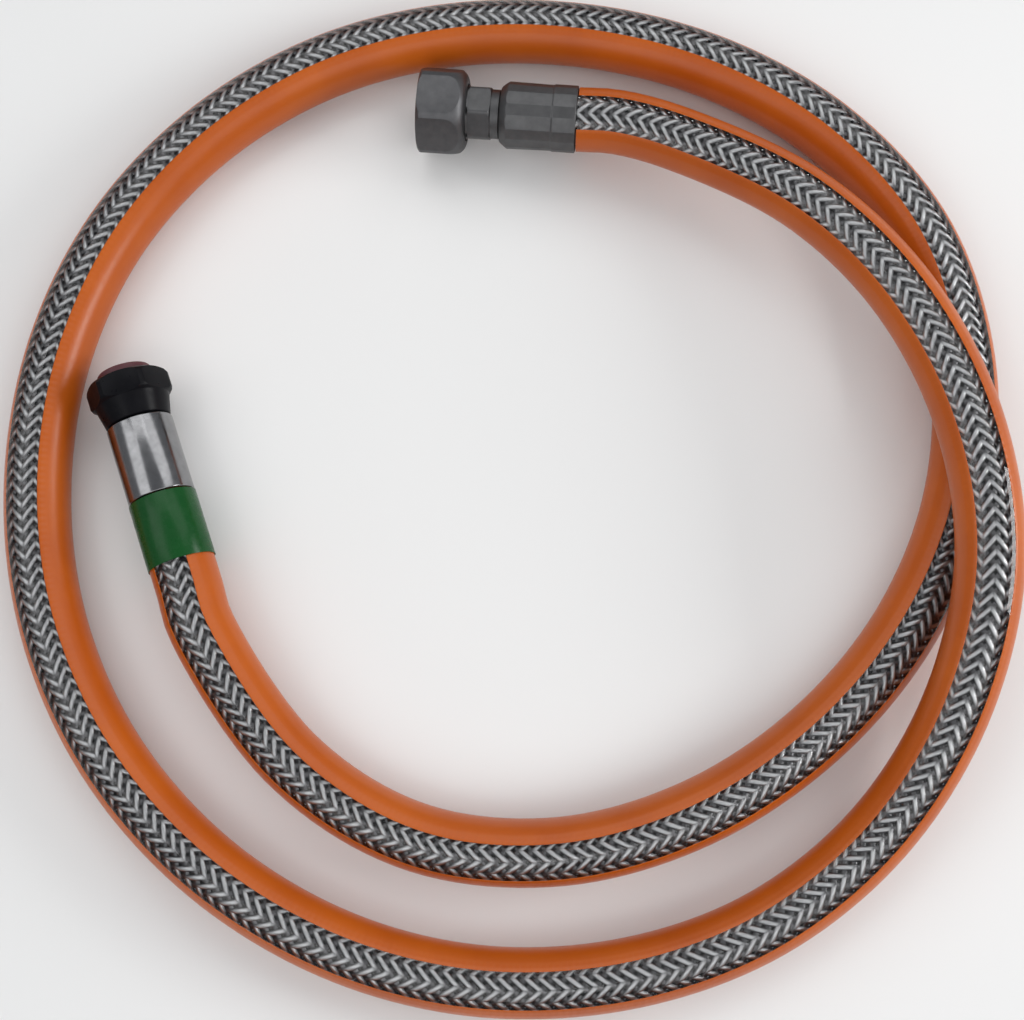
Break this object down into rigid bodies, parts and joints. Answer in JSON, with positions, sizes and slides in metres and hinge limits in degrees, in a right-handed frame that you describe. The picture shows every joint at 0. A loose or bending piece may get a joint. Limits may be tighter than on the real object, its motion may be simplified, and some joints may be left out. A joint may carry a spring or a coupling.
{
  "type": "flexible gas hose",
  "caption": "Flexible gas hose with a woven wire layer under an orange and clear sheath, laid in a coil, with a swivel union nut crimped on at each end.",
  "frame": {"origin": "on the surface that the hose lies on, under the middle of the part's outline", "axes": "+Z up from that surface; seen from above with +X to the right and +Y up, the nut end with the hexagonal neck is at the top and the end with the marker band is at the left"},
  "size_m": [0.2919, 0.3027, 0.0389],
  "materials": {
    "orange_sheath": "soft gloss",
    "clear_strip": "clear and glossy",
    "braid_wire": "bright drawn wire",
    "tube_rubber": "matte",
    "plain_steel": "satin, turned",
    "nut_steel": "satin",
    "seal_rubber": "matte",
    "bright_steel": "polished",
    "nut_black": "satin black",
    "plug_red": "matte",
    "band_green": "glossy film"
  },
  "bodies": {
    "hose": {"outer_sheath": "orange_sheath", "clear_strip": "clear_strip", "wire_braid": "braid_wire", "inner_tube": "tube_rubber", "tailpiece_a": "plain_steel", "crimp_sleeve_a": "plain_steel", "seal_ring_a": "seal_rubber", "tailpiece_b": "plain_steel", "crimp_sleeve_b": "bright_steel", "seal_ring_b": "seal_rubber", "marker_band": "band_green"},
    "nut_a": {"swivel_nut_a": "nut_steel"},
    "nut_b": {"swivel_nut_b": "nut_black"},
    "plug": {"thread_plug": "plug_red"}
  },
  "joints": [
    {"name": "nut_a_spin", "type": "hinge", "parent": "hose", "child": "nut_a", "pos_m": [-0.01898, 0.1138, 0.01369], "axis": [-0.9949, 0.0905, -0.0454], "continuous": true},
    {"name": "nut_b_spin", "type": "hinge", "parent": "hose", "child": "nut_b", "pos_m": [-0.10918, 0.0224, 0.01306], "axis": [-0.3256, 0.9455, 0], "continuous": true},
    {"name": "plug_pull", "type": "slide", "parent": "nut_b", "child": "plug", "axis": [-0.3256, 0.9455, 0], "range_m": [0, 0.008]}
  ]
}
